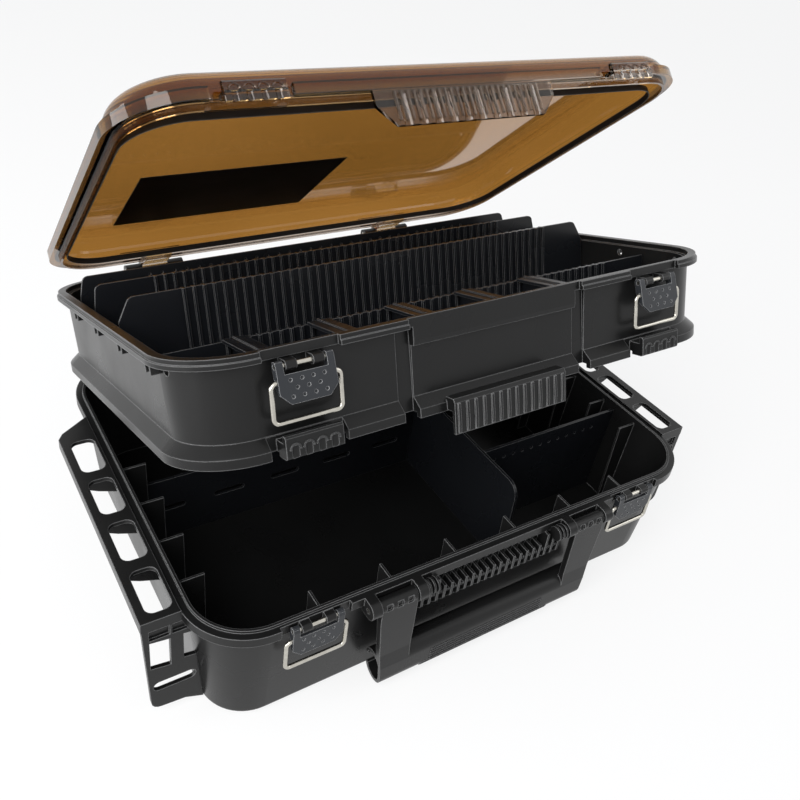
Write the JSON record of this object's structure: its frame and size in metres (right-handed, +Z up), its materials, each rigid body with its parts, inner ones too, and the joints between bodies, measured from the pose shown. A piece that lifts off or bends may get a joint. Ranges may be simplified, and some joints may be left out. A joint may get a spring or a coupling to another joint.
{
  "type": "fishing tackle cabinet",
  "caption": "Two-level portable fishing tackle case: deep case with side racks, hinged middle case with comb plates, clear hinged lid, wire-bail latches and a folding handle.",
  "frame": {"origin": "on the underside of the lower case, on the middle line of its width", "axes": "+X to the right seen from the front, the handle and latches face -Y, +Z up; modelled with the middle case and the lid open"},
  "size_m": [0.48, 0.3908, 0.3944],
  "materials": {
    "case_plastic": "satin black moulded polypropylene",
    "insert_plastic": "satin black moulded polypropylene",
    "latch_plastic": "satin dark grey moulded plastic",
    "steel": "bright drawn steel wire and rod",
    "clear_lid": "clear smoked amber plastic",
    "film": "plain dark film"
  },
  "bodies": {
    "lower": {"lower_case": "case_plastic", "rack_left": "case_plastic", "rack_right": "case_plastic", "divider_cross": "insert_plastic", "divider_right": "insert_plastic", "divider_left": "insert_plastic", "hinge_rod_left": "steel", "hinge_rod_right": "steel", "latch_rod_lower_left": "steel", "latch_rod_lower_right": "steel", "handle_rod_left": "steel", "handle_rod_right": "steel"},
    "middle": {"middle_case": "case_plastic", "comb_plate_front": "insert_plastic", "comb_plate_middle": "insert_plastic", "rear_plate": "insert_plastic", "tray_wall": "insert_plastic", "tray_divider_1": "insert_plastic", "tray_divider_2": "insert_plastic", "tray_divider_3": "insert_plastic", "tray_divider_4": "insert_plastic", "tray_divider_5": "insert_plastic", "lid_rod_left": "steel", "lid_rod_right": "steel", "latch_rod_middle_left": "steel", "latch_rod_middle_right": "steel"},
    "lid": {"lid": "clear_lid", "lid_film": "film"},
    "handle": {"handle": "case_plastic"},
    "latch_lower_left": {"latch_plate_lower_left": "latch_plastic"},
    "bail_lower_left_body": {"bail_lower_left": "steel"},
    "latch_lower_right": {"latch_plate_lower_right": "latch_plastic"},
    "bail_lower_right_body": {"bail_lower_right": "steel"},
    "latch_middle_left": {"latch_plate_middle_left": "latch_plastic"},
    "bail_middle_left_body": {"bail_middle_left": "steel"},
    "latch_middle_right": {"latch_plate_middle_right": "latch_plastic"},
    "bail_middle_right_body": {"bail_middle_right": "steel"}
  },
  "joints": [
    {"name": "middle_case_hinge", "type": "hinge", "parent": "lower", "child": "middle", "pos_m": [0, 0.173, 0.084], "axis": [-1, 0, 0], "range_deg": [-20, 70]},
    {"name": "lid_hinge", "type": "hinge", "parent": "middle", "child": "lid", "pos_m": [0, 0.19711, 0.15025], "axis": [-1, 0, 0], "range_deg": [-22.5, 72.5]},
    {"name": "handle_hinge", "type": "hinge", "parent": "lower", "child": "handle", "pos_m": [0, -0.178, 0.086], "axis": [-1, 0, 0], "range_deg": [0, 100]},
    {"name": "latch_lower_left_hinge", "type": "hinge", "parent": "lower", "child": "latch_lower_left", "pos_m": [-0.141, -0.173, 0.089], "axis": [-1, 0, 0], "range_deg": [0, 100]},
    {"name": "bail_lower_left_pivot", "type": "hinge", "parent": "latch_lower_left", "child": "bail_lower_left_body", "pos_m": [-0.141, -0.173, 0.08], "axis": [1, 0, 0], "range_deg": [-180, 0]},
    {"name": "latch_lower_right_hinge", "type": "hinge", "parent": "lower", "child": "latch_lower_right", "pos_m": [0.141, -0.173, 0.089], "axis": [-1, 0, 0], "range_deg": [0, 100]},
    {"name": "bail_lower_right_pivot", "type": "hinge", "parent": "latch_lower_right", "child": "bail_lower_right_body", "pos_m": [0.141, -0.173, 0.08], "axis": [1, 0, 0], "range_deg": [-180, 0]},
    {"name": "latch_middle_left_hinge", "type": "hinge", "parent": "middle", "child": "latch_middle_left", "pos_m": [-0.141, -0.13076, 0.26107], "axis": [-1, 0, 0], "range_deg": [-10, 90]},
    {"name": "bail_middle_left_pivot", "type": "hinge", "parent": "latch_middle_left", "child": "bail_middle_left_body", "pos_m": [-0.141, -0.13526, 0.25328], "axis": [1, 0, 0], "range_deg": [-193, 0]},
    {"name": "latch_middle_right_hinge", "type": "hinge", "parent": "middle", "child": "latch_middle_right", "pos_m": [0.141, -0.13076, 0.26107], "axis": [-1, 0, 0], "range_deg": [-10, 90]},
    {"name": "bail_middle_right_pivot", "type": "hinge", "parent": "latch_middle_right", "child": "bail_middle_right_body", "pos_m": [0.141, -0.13526, 0.25328], "axis": [1, 0, 0], "range_deg": [-193, 0]}
  ]
}
